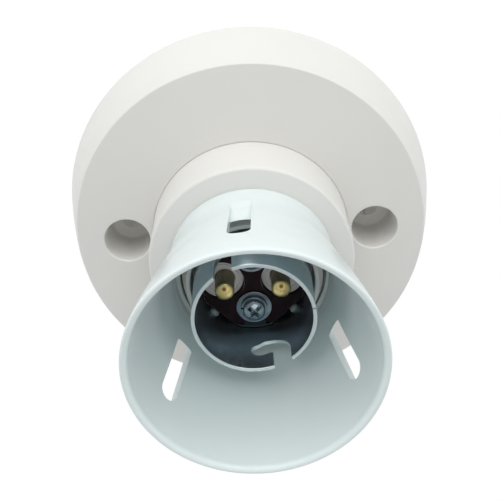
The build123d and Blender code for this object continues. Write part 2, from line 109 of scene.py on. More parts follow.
# Base moulding
base_back_r = face_r + 3.9
base_waist_r = face_r + 2.0
base_waist_z = 9.0
base_waist_round = 30.0
base_shoulder_r = face_r + 0.75
base_shoulder_drop = 2.3
base_shoulder_round = 3.5
face_z = 16.2
face_round = 0.35
base_wall = 2.6
boss_foot_r = boss_r + 0.1
foot_groove = 0.3
boss_z = 30.3
boss_round = 0.7
boss_wall = 2.6
floor_z = 32.0
floor_back_z = 28.0
spigot_top_z = 39.4
fixing_screw_r = 2.4
fixing_ledge_z = 4.5
fixing_mouth_r = fixing_head_r + 0.8
pillar_r = fixing_head_r + 2.0
rib_count = 8
rib_thickness = 1.6
rib_height = 5.0
rib_end_r = face_r - 1.2
post_reach = boss_r - boss_wall - 4.1
post_angle = radians(-36)
post_r = 2.6
post_back_z = 20.3
post_pilot_r = 1.25
post_pilot_end = 1.0

# Plunger bosses
plunger_x = 0.507 * sleeve_inner_r
plunger_boss_x = plunger_x + 0.6
plunger_boss_r = 0.4 * sleeve_inner_r
plunger_boss_z = 36.0
plunger_bore_r = 2.1
plunger_bore_mouth_r = plunger_bore_r + 0.5
shoulder_bore_r = 3.0
shoulder_stop_z = 33.4
boss_groove_x = plunger_x + 0.3
boss_groove_r = plunger_boss_r - 1.0
boss_groove = 0.25

# Threads of the spigot and the skirt
thread_crest_r = spigot_r + 0.95
thread_pitch = 1.9
thread_start_z = 31.2
thread_top_z = 37.0
skirt_thread_crest_r = thread_crest_r + 0.35
skirt_thread_root_r = thread_crest_r + 1.1
thread_steps = 96
thread_fade_steps = 24
thread_flank = 0.16
thread_foot = 0.40
thread_flank_share = 0.92
thread_sink_share = 0.05

# Skirt
skirt_back_z = 30.4
skirt_back_r = collar_r - 0.2
skirt_back_edge = 0.25
skirt_thread_start_z = skirt_back_z + 0.9
skirt_thread_top_z = 36.4
collar_top_z = 35.5
collar_inner_top_z = 38.4
collar_inner_edge = 0.6
collar_lean = 0.08
collar_inner_lean = 0.10
flare_middle_r = collar_r + 1.9
flare_middle_z = 46.5
flare_wall = 1.7
flare_lean = 0.19
lip_lean = 0.12
lip_r = collar_r + 5.95
lip_width = 1.4
lip_drop = 1.4
lip_edge_round = 0.4
skirt_edge = 0.12
skirt_front_z = 68.7
slot_count = 3
slot_angle = 34.5
slot_width = 4.2
slot_floor_r = collar_r - 0.2
slot_end_z = 59.8
slot_start_z = 39.4
slot_ramp = 2.6
slot_ramp_rise = 0.4
slot_ramp_overlap = 0.1

# Bayonet sleeve
sleeve_mouth_z = 52.5
tab_width = 4.4
tab_top_z = 37.6
tab_relief = 0.5
tab_window_reach = 6.0
tab_root = 1.5
tab_root_sink = 0.3
tab_bend = 0.35
tab_bend_sink = 0.1
sheet_edge = 0.06
dimple_r = 1.1
dimple_height = 0.95
dimple_drop = 0.9
dimple_sink = 0.1
dimple_hollow_r = 0.8
dimple_hollow_shift = 0.15
dimple_angles = (42.0, 138.0, 222.0, 318.0)
seam_angle = 188.7
seam_gap = 0.16
seam_tooth = 1.5
seam_neck = 0.6 * seam_tooth
seam_tooth_shares = (0.72, 0.35)
j_middle_angle = 106.0
j_half_span = 11.1
j_entry_width = 3.85
j_depth = 8.9
j_ramp_depth = 3.0
j_crest = -1.2
j_inner_depth = 4.7
j_nib_r = 0.5
j_seat_depth = 6.2
j_seat_r = 1.85
j_seat_start = radians(110)
j_seat_end = radians(280)
j_ramp_lean = 0.36
j_nib_lean = 0.18

# Insulating plate on the floor, inside the sleeve
plate_sides = 8
plate_gap = 0.2
plate_boss_gap = 0.1
plate_tab_gap = 0.08
plate_edge = 0.2

# Plungers
plunger_r = 1.95
plunger_tip_z = 42.3
plunger_dome = 0.95
plunger_shoulder_r = 2.6
plunger_shoulder_front_z = 33.3
plunger_shoulder = 1.4
plunger_tail_r = 1.2
plunger_tail = 3.0
plunger_dome_end = radians(81)
plunger_crown_r = 0.2
plunger_crown_edge = 0.15
plunger_crown_sink = 0.2
# Painted reflection: a dark spot beside each plunger's crown
dark_reflection_y = -0.95
dark_reflection_z = plunger_tip_z - 0.2
dark_reflection_r = 0.3
dark_reflection_blur = 0.6

# Clamping screws of the sleeve and their washers
screw_y = 0.535 * sleeve_inner_r
screw_r = 1.5
flat_washer_r = 3.7
flat_washer = 0.6
spring_washer_r = 2.75
spring_washer_ring = 0.95
spring_washer = 0.7
screw_head_r = 2.32
screw_head = 1.5
screw_length = 22.0
screw_hole_r = 1.7
screw_thread_fit = 0.05
screw_point_r = screw_r - 0.4
screw_point_z = 0.5
screw_crown = 0.85
screw_crown_rise = 1.3
screw_crown_run = 2.6
screw_turns = (radians(15), radians(45))
recess_rise = 0.5
recess_mouth = (4.4, 1.15)
recess_depth = 1.1
recess_end = (1.6, 0.5)
screw_slot = (4.0, 0.8)
screw_slot_depth = 0.7
spring_cut = 0.3
spring_cut_lean = 0.7
spring_cut_reach = 2.0


def arc_points(centre, radius, start, end):
    """Points on an arc from angle start to angle end, both ends included."""
    steps = max(2, int(abs(end - start) / ARC_STEP) + 1)
    turns = [start + (end - start) * i / steps for i in range(steps + 1)]
    return [(centre[0] + radius * cos(t), centre[1] + radius * sin(t)) for t in turns]


def rounded(corners):
    """Closed outline through (x, y, radius) corners, each rounded to its radius."""
    points = []
    count = len(corners)
    for i, (x, y, radius) in enumerate(corners):
        here = Vector((x, y))
        before = Vector(corners[i - 1][:2]) - here
        after = Vector(corners[(i + 1) % count][:2]) - here
        if radius <= 0:
            points.append((x, y))
            continue
        before.normalize()
        after.normalize()
        half = before.angle(after) / 2
        reach = radius / max(0.01, abs(sin(half) / cos(half)))
        centre = here + (before + after).normalized() * radius / sin(half)
        first = here + before * reach - centre
        last = here + after * reach - centre
        start = atan2(first.y, first.x)
        end = atan2(last.y, last.x)
        turn = (end - start + pi) % (2 * pi) - pi
        points += arc_points(centre, radius, start, start + turn)
    return points


def mesh_object(name, bm):
    """Object from a bmesh in millimetres, with outward faces."""
    bmesh.ops.remove_doubles(bm, verts=bm.verts, dist=1e-5)
    bmesh.ops.recalc_face_normals(bm, faces=bm.faces)
    for vert in bm.verts:
        vert.co *= MM
    mesh = bpy.data.meshes.new(name)
    bm.to_mesh(mesh)
    bm.free()
    obj = bpy.data.objects.new(name, mesh)
    bpy.context.scene.collection.objects.link(obj)
    return obj


def lathe(name, outline, around=AROUND, middle=(0, 0)):
    """Solid of revolution about a vertical axis, from a closed outline of (r, z) points."""
    bm = bmesh.new()
    rings = []
    for r, z in outline:
        if r < 1e-6:
            rings.append([bm.verts.new((middle[0], middle[1], z))])
            continue
        ring = []
        for k in range(around):
            t = 2 * pi * k / around
            ring.append(bm.verts.new((middle[0] + r * cos(t), middle[1] + r * sin(t), z)))
        rings.append(ring)
    for i, ring in enumerate(rings):
        other = rings[(i + 1) % len(rings)]
        if len(ring) == 1 and len(other) == 1:
            continue
        for k in range(around):
            n = (k + 1) % around
            if len(ring) == 1:
                bm.faces.new((ring[0], other[k], other[n]))
            elif len(other) == 1:
                bm.faces.new((ring[k], other[0], ring[n]))
            else:
                bm.faces.new((ring[k], other[k], other[n], ring[n]))
    return mesh_object(name, bm)


def prism(name, outline, low, high, place=None):
    """Straight prism over a closed outline, from low to high along the local third axis."""
    bm = bmesh.new()
    bottom = [bm.verts.new((x, y, low)) for x, y in outline]
    top = [bm.verts.new((x, y, high)) for x, y in outline]
    bm.faces.new(bottom)
    bm.faces.new(top)
    for i in range(len(outline)):
        n = (i + 1) % len(outline)
        bm.faces.new((bottom[i], bottom[n], top[n], top[i]))
    if place:
        bmesh.ops.transform(bm, matrix=place, verts=bm.verts)
    return mesh_object(name, bm)


def strip(line, width):
    """Closed outline of a strip of even width along an open line."""
    points = [Vector(p) for p in line]
    sides = []
    for i, point in enumerate(points):
        before = (point - points[i - 1]).normalized() if i else None
        after = (points[i + 1] - point).normalized() if i + 1 < len(points) else None
        first = before or after
        second = after or before
        way = (first + second).normalized()
        normal = Vector((-way.y, way.x))
        reach = width / 2 / max(0.3, normal.dot(Vector((-first.y, first.x))))
        sides.append((point + normal * reach, point - normal * reach))
    return [tuple(a) for a, _ in sides] + [tuple(b) for _, b in reversed(sides)]


def circle(radius, middle=(0, 0), around=AROUND_SMALL):
    """Points of a circle."""
    turns = [2 * pi * k / around for k in range(around)]
    return [(middle[0] + radius * cos(t), middle[1] + radius * sin(t)) for t in turns]


def rectangle(width, height, middle=(0, 0)):
    """Corners of a rectangle."""
    x, y = width / 2, height / 2
    corners = ((-x, -y), (x, -y), (x, y), (-x, y))
    return [(middle[0] + u, middle[1] + v) for u, v in corners]


def combine(target, operation, others):
    """Boolean of the target with each other object, which is used up."""
    for other in others:
        modifier = target.modifiers.new("combine", "BOOLEAN")
        modifier.operation = operation
        modifier.solver = "EXACT"
        modifier.object = other
        bpy.context.view_layer.update()
        graph = bpy.context.evaluated_depsgraph_get()
        mesh = bpy.data.meshes.new_from_object(target.evaluated_get(graph))
        target.modifiers.clear()
        old = target.data
        target.data = mesh
        bpy.data.meshes.remove(old)
        bpy.data.objects.remove(other)


def smooth(obj, angle=SMOOTH_BELOW, bevel=0.0, segments=2):
    """Smooth faces with sharp edges kept, and an optional small rounding of those edges."""
    mesh = obj.data
    mesh.name = obj.name
    bm = bmesh.new()
    bm.from_mesh(mesh)
    bmesh.ops.remove_doubles(bm, verts=bm.verts, dist=MERGE_REACH * MM)
    bmesh.ops.dissolve_degenerate(bm, edges=bm.edges, dist=SLIVER * MM)
    bm.to_mesh(mesh)
    bm.free()
    if bevel:
        rounding = obj.modifiers.new("edge_rounding", "BEVEL")
        rounding.width = bevel * MM
        rounding.segments = segments
        rounding.limit_method = "ANGLE"
        rounding.angle_limit = BEVEL_ABOVE
    for polygon in mesh.polygons:
        polygon.use_smooth = True
    mesh.set_sharp_from_angle(angle=angle)


def dress(obj, material, slot_name, body, *nodes):
    """Gives the piece its material and body, and hides the nodes that it stands for; slot_name is not
    used.
    """
    obj.data.materials.clear()
    obj.data.materials.append(material)
    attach(obj, body)
    if nodes:
        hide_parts(*nodes)


def outwards(angle):
    """Direction away from the main axis, at an angle in degrees."""
    return Vector((cos(radians(angle)), sin(radians(angle)), 0))


def upright(angle, reach, z):
    """Placement whose third axis points outwards at an angle, and whose first axis is +Z."""
    way = outwards(angle)
    first = Vector((0, 0, 1))
    second = way.cross(first)
    origin = way * reach + Vector((0, 0, z))
    rows = [(first[i], second[i], way[i], origin[i]) for i in range(3)]
    return Matrix(rows + [(0, 0, 0, 1)])


def sideways(angle):
    """Placement whose first axis is +Z, and whose second axis points outwards at an angle."""
    way = outwards(angle)
    first = Vector((0, 0, 1))
    third = first.cross(way)
    rows = [(first[i], way[i], third[i], 0) for i in range(3)]
    return Matrix(rows + [(0, 0, 0, 1)])


class Finish:
    """A principled material with procedural colour variation and fine bump."""

    def __init__(self, name, colour, roughness, metallic=0.0):
        self.material = bpy.data.materials.new(name)
        self.material.use_nodes = True
        self.tree = self.material.node_tree
        self.shader = self.tree.nodes["Principled BSDF"]
        self.shader.inputs["Base Color"].default_value = (*colour, 1)
        self.shader.inputs["Roughness"].default_value = roughness
        self.shader.inputs["Metallic"].default_value = metallic
        self.place = self.node("ShaderNodeTexCoord").outputs["Object"]
        self.normal = None

    def node(self, kind, **values):
        """A node with some of its inputs set."""
        made = self.tree.nodes.new(kind)
        for key, value in values.items():
            made.inputs[key].default_value = value
        return made

    def link(self, source, target):
        """Joins a node's output to another's input."""
        self.tree.links.new(source, target)

    def math(self, operation, first, second):
        """Result of a sum on two values, each a number or another node's output."""
        made = self.node("ShaderNodeMath")
        made.operation = operation
        for index, value in enumerate((first, second)):
            if isinstance(value, (int, float)):
                made.inputs[index].default_value = value
            else:
                self.link(value, made.inputs[index])
        return made.outputs[0]

    def noise(self, scale, detail=3.0, stretch=(1, 1, 1)):
        """Noise fixed to the piece, stretched along its own axes."""
        mapping = self.node("ShaderNodeMapping", Scale=stretch)
        self.link(self.place, mapping.inputs["Vector"])
        noise = self.node("ShaderNodeTexNoise", Scale=scale, Detail=detail)
        self.link(mapping.outputs["Vector"], noise.inputs["Vector"])
        return noise.outputs["Fac"]

    def spread(self, value, low, high, start=0.35, end=0.65):
        """The value brought from start and end to low and high, and held there beyond them."""
        ramp = self.node("ShaderNodeMapRange")
        ramp.inputs["From Min"].default_value = start
        ramp.inputs["From Max"].default_value = end
        ramp.inputs["To Min"].default_value = low
        ramp.inputs["To Max"].default_value = high
        self.link(value, ramp.inputs["Value"])
        return ramp.outputs["Result"]

    def mix(self, factor, first, second):
        """Blend of two colours, each a colour or another node's output."""
        mixer = self.node("ShaderNodeMix")
        mixer.data_type = "RGBA"
        self.link(factor, mixer.inputs["Factor"])
        for index, colour in ((6, first), (7, second)):
            if hasattr(colour, "is_linked"):
                self.link(colour, mixer.inputs[index])
            else:
                mixer.inputs[index].default_value = (*colour, 1)
        return mixer.outputs[2]

    def outward_share(self):
        """How far a face turns outwards from the main axis, from -1 to 1, and its place."""
        geometry = self.node("ShaderNodeNewGeometry")
        flat = self.node("ShaderNodeVectorMath")
        flat.operation = "MULTIPLY"
        flat.inputs[1].default_value = (1, 1, 0)
        self.link(geometry.outputs["Position"], flat.inputs[0])
        way = self.node("ShaderNodeVectorMath")
        way.operation = "NORMALIZE"
        self.link(flat.outputs["Vector"], way.inputs[0])
        share = self.node("ShaderNodeVectorMath")
        share.operation = "DOT_PRODUCT"
        self.link(geometry.outputs["True Normal"], share.inputs[0])
        self.link(way.outputs["Vector"], share.inputs[1])
        return share.outputs["Value"], geometry.outputs["Position"]

    def outer_side(self):
        """One on faces that look outwards from the main axis."""
        share, _ = self.outward_share()
        return self.spread(share, 0, 1, 0.3, 0.8)

    def edge_highlight_faces(self, low_z):
        """One on faces above a height that don't face outwards or inwards from the main axis."""
        share, place = self.outward_share()
        size = self.math("ABSOLUTE", share, 0)
        height = self.node("ShaderNodeSeparateXYZ")
        self.link(place, height.inputs["Vector"])
        above = self.spread(height.outputs["Z"], 0, 1, low_z * MM, (low_z + 0.5) * MM)
        return self.math("MULTIPLY", self.spread(size, 1, 0, 0.75, 0.95), above)

    def bevel_highlight_faces(self):
        """One on outer faces that lean half way between flat and upright."""
        geometry = self.node("ShaderNodeNewGeometry")
        normal = self.node("ShaderNodeSeparateXYZ")
        self.link(geometry.outputs["True Normal"], normal.inputs["Vector"])
        up = normal.outputs["Z"]
        lean = self.math("MULTIPLY", up, self.math("SUBTRACT", 1.0, up))
        share, _ = self.outward_share()
        outer = self.spread(share, 0, 1, 0.2, 0.5)
        return self.math("MULTIPLY", self.spread(lean, 0, 1, 0.05, 0.18), outer)

    def dark_reflection_spot(self, x):
        """One in a small spot beside the crown of the plunger at x, where a dark reflection is painted.
        """
        reach = self.node("ShaderNodeVectorMath")
        reach.operation = "DISTANCE"
        self.link(self.place, reach.inputs[0])
        reach.inputs[1].default_value = (x * MM, dark_reflection_y * MM, dark_reflection_z * MM)
        return self.spread(reach.outputs["Value"], 1, 0, dark_reflection_r * MM, dark_reflection_blur * MM)

    def colour(self, source):
        """Sets the colour from a node's output."""
        self.link(source, self.shader.inputs["Base Color"])

    def rough(self, value, low, high):
        """Sets the roughness from a noise, between low and high."""
        self.link(self.spread(value, low, high), self.shader.inputs["Roughness"])

    def bump(self, height, distance, strength=1.0):
        """Adds a bump of a depth in millimetres."""
        bump = self.node("ShaderNodeBump", Strength=strength, Distance=distance * MM)
        self.link(height, bump.inputs["Height"])
        if self.normal:
            self.link(self.normal, bump.inputs["Normal"])
        self.normal = bump.outputs["Normal"]
        self.link(self.normal, self.shader.inputs["Normal"])


def moulded_plastic(name, light, dark, roughness, grain, gloss_range=0.05):
    """Moulded plastic: faint clouding of its colour, uneven gloss and a fine surface grain."""
    finish = Finish(name, light, roughness)
    cloud = finish.noise(60, 2)
    finish.colour(finish.mix(finish.spread(cloud, 0, 1, 0.2, 0.8), dark, light))
    finish.rough(finish.noise(160, 3), roughness - gloss_range, roughness + gloss_range)
    if grain:
        finish.bump(finish.noise(2200, 2), grain, 0.5)
    return finish.material


def plated_steel(name, light, dark, roughness, brush=(1, 1, 1), edge_highlight=None, metallic=1.0):
    """Zinc plating: drawn streaks, cloudy patches and slight waves; on sheet, a painted reflection
    lightens the outer side and a painted highlight whitens the cut edges above the tabs.
    """
    finish = Finish(name, light, roughness, metallic)
    patches = finish.noise(140, 3)
    streaks = finish.noise(900, 3, brush)
    cloudy = finish.mix(finish.spread(patches, 0, 1), dark, light)
    skin = finish.mix(finish.spread(streaks, 0, 0.35), cloudy, dark)
    if edge_highlight:
        # Painted reflection: the outer side is lighter; painted highlight: the cut edges above the tabs
        # take the pale edge colour
        skin = finish.mix(finish.outer_side(), skin, tuple(1.12 * c for c in light))
        skin = finish.mix(finish.edge_highlight_faces(tab_top_z + 4), skin, edge_highlight)
    finish.colour(skin)
    finish.rough(finish.noise(120, 3), roughness - 0.03, roughness + 0.05)
    finish.bump(finish.noise(70, 2), 0.03)
    return finish.material


def turned_brass(name, light, dark, dull_and_shaded, roughness):
    """Brass with turning rings and tarnish, bright on the plungers' tips, with a painted dark reflection
    beside each crown; below the tips it is duller and darker, partly tarnish and partly painted shade.
    """
    finish = Finish(name, light, roughness, metallic=1.0)
    tarnish = finish.noise(420, 4)
    height = finish.node("ShaderNodeSeparateXYZ")
    finish.link(finish.place, height.inputs["Vector"])
    shoulder_z = plunger_tip_z - plunger_dome
    tip_from = (shoulder_z - 0.2) * MM
    tip_to = (shoulder_z + 0.1) * MM
    bright_tip_share = finish.spread(height.outputs["Z"], 0, 1, tip_from, tip_to)
    bright = finish.mix(finish.spread(tarnish, 0, 1, 0.45, 0.75), light, dark)
    # Painted reflection: a dark brown spot beside each plunger's crown
    for side in (-1, 1):
        reflection_spot = finish.dark_reflection_spot(side * plunger_x)
        bright = finish.mix(reflection_spot, bright, tuple(0.2 * c for c in dark))
    # Below the tips: duller, darker brass, partly tarnish and partly painted shade of the rods inside the
    # sleeve
    finish.colour(finish.mix(bright_tip_share, dull_and_shaded, bright))
    polished = finish.spread(height.outputs["Z"], 0.6, roughness, tip_from, tip_to)
    uneven = finish.math("ADD", polished, finish.spread(tarnish, 0.0, 0.15))
    finish.link(uneven, finish.shader.inputs["Roughness"])
    finish.bump(finish.noise(700, 2, (0.1, 0.1, 4)), 0.01)
    return finish.material


def phenolic(name, light, dark, roughness, edge_highlight):
    """Dark filled phenolic: mottled with flecks of filler, and a painted highlight in a pale colour on
    its bevelled edges.
    """
    finish = Finish(name, light, roughness)
    mottle = finish.noise(300, 5)
    flecks = finish.noise(2500, 2)
    base = finish.mix(finish.spread(mottle, 0, 1), dark, light)
    fleck_colour = tuple(2.2 * c for c in light)
    skin = finish.mix(finish.spread(flecks, 0, 0.5, 0.62, 0.75), base, fleck_colour)
    # Painted highlight: the bevelled edges take the pale edge colour
    finish.colour(finish.mix(finish.bevel_highlight_faces(), skin, edge_highlight))
    finish.rough(mottle, roughness - 0.05, roughness + 0.1)
    finish.bump(finish.noise(1500, 3), 0.006)
    finish.shader.inputs["Specular IOR Level"].default_value = 0.12
    return finish.material


def make_materials():
    """All finishes by the name of their slot, and two more for the sleeve: a near-black one for its bent
    tabs, which is painted shade, and one for its pressed dimples.
    """
    return {
        "base_plastic": moulded_plastic(
            "base_plastic", (0.80, 0.785, 0.75), (0.78, 0.765, 0.73), 0.42, 0.010
        ),
        "skirt_plastic": moulded_plastic(
            "skirt_plastic", (0.78, 0.85, 0.842), (0.77, 0.84, 0.832), 0.24, 0.0, 0.02
        ),
        "carrier_plastic": moulded_plastic(
            "carrier_plastic", (0.70, 0.69, 0.66), (0.67, 0.66, 0.63), 0.5, 0.012
        ),
        # The pale last colour of the sheet is a painted highlight on its cut edges, and its outer side
        # gets a painted lighter reflection
        "plated_sheet": plated_steel(
            "plated_sheet",
            (0.60, 0.70, 0.75),
            (0.44, 0.53, 0.58),
            0.30,
            brush=(1, 1, 0.15),
            edge_highlight=(0.85, 0.93, 0.94),
        ),
        "pressed_sheet": plated_steel(
            "pressed_sheet", (0.34, 0.41, 0.41), (0.28, 0.35, 0.35), 0.62, metallic=0.3
        ),
        # Near-black plating for the tabs is painted shade: it stands in for their dark reflections under
        # the washers
        "painted_shade_sheet": plated_steel(
            "painted_shade_sheet", (0.04, 0.05, 0.056), (0.025, 0.032, 0.036), 0.40
        ),
        "plated_screw": plated_steel(
            "plated_screw", (0.38, 0.44, 0.48), (0.16, 0.20, 0.22), 0.20
        ),
        "spring_steel": plated_steel(
            "spring_steel", (0.50, 0.50, 0.50), (0.30, 0.30, 0.30), 0.28
        ),
        # The third brass colour, for the rods below the tips, is partly tarnish and partly painted shade
        "brass": turned_brass(
            "brass", (1.0, 0.79, 0.35), (0.75, 0.54, 0.20), (0.48, 0.43, 0.30), 0.28
        ),
        # The pale last colour of the phenolic is a painted highlight on the plate's bevelled edges
        "phenolic": phenolic(
            "phenolic", (0.026, 0.013, 0.017), (0.012, 0.006, 0.008), 0.45, (0.95, 0.88, 0.84)
        ),
    }


def base_profile():
    """Closed section of the base with its cavity, boss and spigot."""
    inner_face_r = face_r - base_wall
    hollow_r = boss_r - boss_wall
    ceiling_z = face_z - base_wall
    return rounded(
        [
            (base_back_r, 0, 0.3),
            (base_waist_r, base_waist_z, base_waist_round),
            (base_shoulder_r, face_z - base_shoulder_drop, base_shoulder_round),
            (face_r, face_z, face_round),
            (boss_foot_r + foot_groove, face_z, 0.05),
            (boss_foot_r, face_z - foot_groove, 0.05),
            (boss_r, boss_z, boss_round),
            (spigot_r, boss_z, 0.2),
            (spigot_r, spigot_top_z, 0.2),
            (spigot_bore_r, spigot_top_z, 0.3),
            (spigot_bore_r, floor_z, 0.15),
            (0, floor_z, 0),
            (0, floor_back_z, 0),
            (hollow_r, floor_back_z, 0.5),
            (hollow_r, ceiling_z, 0.4),
            (inner_face_r, ceiling_z, 1.5),
            (base_back_r - base_wall, 0, 0.3),
        ]
    )


def post_middle(side):
    """Centre of the post that takes one of the carrier's screws."""
    return (side * post_reach * cos(post_angle), side * post_reach * sin(post_angle))


def make_base(materials):
    """Base moulding with its ribs, pillars and posts, its bores and its plunger bosses."""
    base = lathe("base_body", base_profile())
    ceiling_z = face_z - base_wall
    hollow_r = boss_r - boss_wall
    added = []
    for k in range(rib_count):
        angle = 360 * (k + 0.5) / rib_count
        place = Matrix.Rotation(radians(angle), 4, "Z")
        outline = rectangle(rib_end_r - hollow_r, rib_thickness, ((rib_end_r + hollow_r) / 2, 0))
        added.append(prism("rib", outline, ceiling_z - rib_height, ceiling_z + INTO, place))
    for side in (-1, 1):
        pillar = rounded(
            [
                (0, 0, 0),
                (pillar_r, 0, 0.3),
                (pillar_r, ceiling_z + INTO, 0),
                (0, ceiling_z + INTO, 0),
            ]
        )
        added.append(lathe("pillar", pillar, AROUND_HOLE, (side * fixing_x, 0)))
        guide = rounded(
            [
                (0, floor_z - INTO, 0),
                (plunger_boss_r, floor_z - INTO, 0),
                (plunger_boss_r, plunger_boss_z, 0.15),
                (0, plunger_boss_z, 0),
            ]
        )
        added.append(lathe("guide", guide, AROUND_HOLE, (side * plunger_boss_x, 0)))
        post = rounded(
            [
                (0, post_back_z, 0),
                (post_r, post_back_z, 0.2),
                (post_r, floor_back_z + INTO, 0),
                (0, floor_back_z + INTO, 0),
            ]
        )
        added.append(lathe("post", post, AROUND_SMALL, post_middle(side)))
    combine(base, "UNION", added)
    removed = []
    for side in (-1, 1):
        head = rounded(
            [
                (0, -PAST, 0),
                (fixing_screw_r, -PAST, 0),
                (fixing_screw_r, fixing_ledge_z, 0.25),
                (fixing_head_r, fixing_ledge_z, 0.4),
                (fixing_head_r, face_z, 0.3),
                (fixing_mouth_r, face_z, 0),
                (fixing_mouth_r, face_z + OVERSHOOT, 0),
                (0, face_z + OVERSHOOT, 0),
            ]
        )
        removed.append(lathe("fixing_bore", head, AROUND_HOLE, (side * fixing_x, 0)))
        bore = rounded(
            [
                (0, floor_back_z - PAST, 0),
                (shoulder_bore_r, floor_back_z - PAST, 0),
                (shoulder_bore_r, shoulder_stop_z, 0),
                (plunger_bore_r, shoulder_stop_z, 0),
                (plunger_bore_r, plunger_boss_z, 0.2),
                (plunger_bore_mouth_r, plunger_boss_z, 0),
                (plunger_bore_mouth_r, plunger_boss_z + PAST, 0),
                (0, plunger_boss_z + PAST, 0),
            ]
        )
        removed.append(lathe("plunger_bore", bore, AROUND_SMALL, (side * plunger_x, 0)))
        low = plunger_boss_z - boss_groove
        high = plunger_boss_z + PAST
        inner_r = boss_groove_r - boss_groove
        groove = [(inner_r, low), (boss_groove_r, low), (boss_groove_r, high), (inner_r, high)]
        removed.append(lathe("groove", groove, AROUND_HOLE, (side * boss_groove_x, 0)))
        screw_bore = circle(screw_hole_r, (0, side * screw_y), AROUND_FINE)
        removed.append(prism("screw_bore", screw_bore, floor_back_z - PAST, floor_z + PAST))
        pilot = circle(post_pilot_r, post_middle(side), AROUND_PILOT)
        removed.append(prism("pilot", pilot, post_back_z - PAST, floor_back_z - post_pilot_end))
    combine(base, "DIFFERENCE", removed)
    smooth(base)
    dress(base, materials["base_plastic"], "base_plastic", "holder", "base_moulding")


def thread_ridge(name, root_r, crest_r, start_z, top_z):
    """Helical ridge of a thread that fades out at both ends."""
    bm = bmesh.new()
    turns = (top_z - start_z) / thread_pitch
    sunk_r = root_r - thread_sink_share * (crest_r - root_r)
    steps = int(turns * thread_steps)
    rows = []
    for i in range(steps + 1):
        t = 2 * pi * turns * i / steps
        z = start_z + (top_z - start_z) * i / steps
        fade = min(1.0, i / thread_fade_steps, (steps - i) / thread_fade_steps)
        depth = (crest_r - root_r) * fade
        section = (
            (sunk_r, -thread_foot),
            (root_r + depth * thread_flank_share, -thread_flank),
            (root_r + depth, 0.0),
            (root_r + depth * thread_flank_share, thread_flank),
            (sunk_r, thread_foot),
        )
        row = [bm.verts.new((r * cos(t), r * sin(t), z + h * thread_pitch)) for r, h in section]
        rows.append(row)
    for a, b in zip(rows, rows[1:]):
        for j in range(len(a)):
            n = (j + 1) % len(a)
            bm.faces.new((a[j], b[j], b[n], a[n]))
    bm.faces.new(rows[0])
    bm.faces.new(rows[-1])
    return mesh_object(name, bm)


def make_spigot_thread(materials):
    """Outer thread of the spigot that the skirt screws on."""
    ridge = thread_ridge("spigot_thread", spigot_r, thread_crest_r, thread_start_z, thread_top_z)
    smooth(ridge, THREAD_SMOOTH_BELOW)
    dress(ridge, materials["base_plastic"], "base_plastic", "holder")


def hermite(start, end, start_way, end_way, steps):
    """Points of a smooth curve between two points with given end directions."""
    points = []
    for i in range(1, steps):
        t = i / steps
        a = 2 * t**3 - 3 * t**2 + 1
        b = t**3 - 2 * t**2 + t
        c = -2 * t**3 + 3 * t**2
        d = t**3 - t**2
        points.append(
            tuple(a * start[k] + b * start_way[k] + c * end[k] + d * end_way[k] for k in (0, 1))
        )
    return points


def skirt_profile():
    """Closed section of the skirt: collar, flare and rounded lip."""
    rim_z = skirt_front_z - lip_edge_round
    rim_r = lip_r - lip_edge_round
    collar = (collar_r, collar_top_z)
    middle = (flare_middle_r, flare_middle_z)
    lip_start = (lip_r, rim_z)
    rise = rim_z - flare_middle_z
    low = flare_middle_z - collar_top_z
    points = [(skirt_back_r - skirt_back_edge, skirt_back_z)]
    points += [(skirt_back_r, skirt_back_z + skirt_back_edge), collar]
    points += hermite(collar, middle, (collar_lean * low, low), (flare_lean * low, low), 12)
    points.append(middle)
    points += hermite(middle, lip_start, (flare_lean * rise, rise), (lip_lean * rise, rise), 20)
    points += arc_points((rim_r, rim_z), lip_edge_round, 0, pi / 2)
    across = lip_width - lip_edge_round
    quarter = arc_points((0, 0), 1, pi / 2, pi)[1:]
    points += [(rim_r + across * x, skirt_front_z + lip_drop * (y - 1)) for x, y in quarter]
    inner_start = points[-1]
    inner_middle = (flare_middle_r - flare_wall, flare_middle_z)
    inner_collar = (collar_r - flare_wall, collar_inner_top_z)
    drop = inner_start[1] - flare_middle_z
    start_way = (-lip_lean * drop, -drop)
    points += hermite(inner_start, inner_middle, start_way, (-flare_lean * drop, -drop), 20)
    points.append(inner_middle)
    drop = flare_middle_z - collar_inner_top_z
    end_way = (-collar_inner_lean * drop, -drop)
    points += hermite(inner_middle, inner_collar, (-flare_lean * drop, -drop), end_way, 8)
    points.append(inner_collar)
    points.append((skirt_thread_root_r, collar_inner_top_z - collar_inner_edge))
    points.append((skirt_thread_root_r, skirt_back_z))
    return points


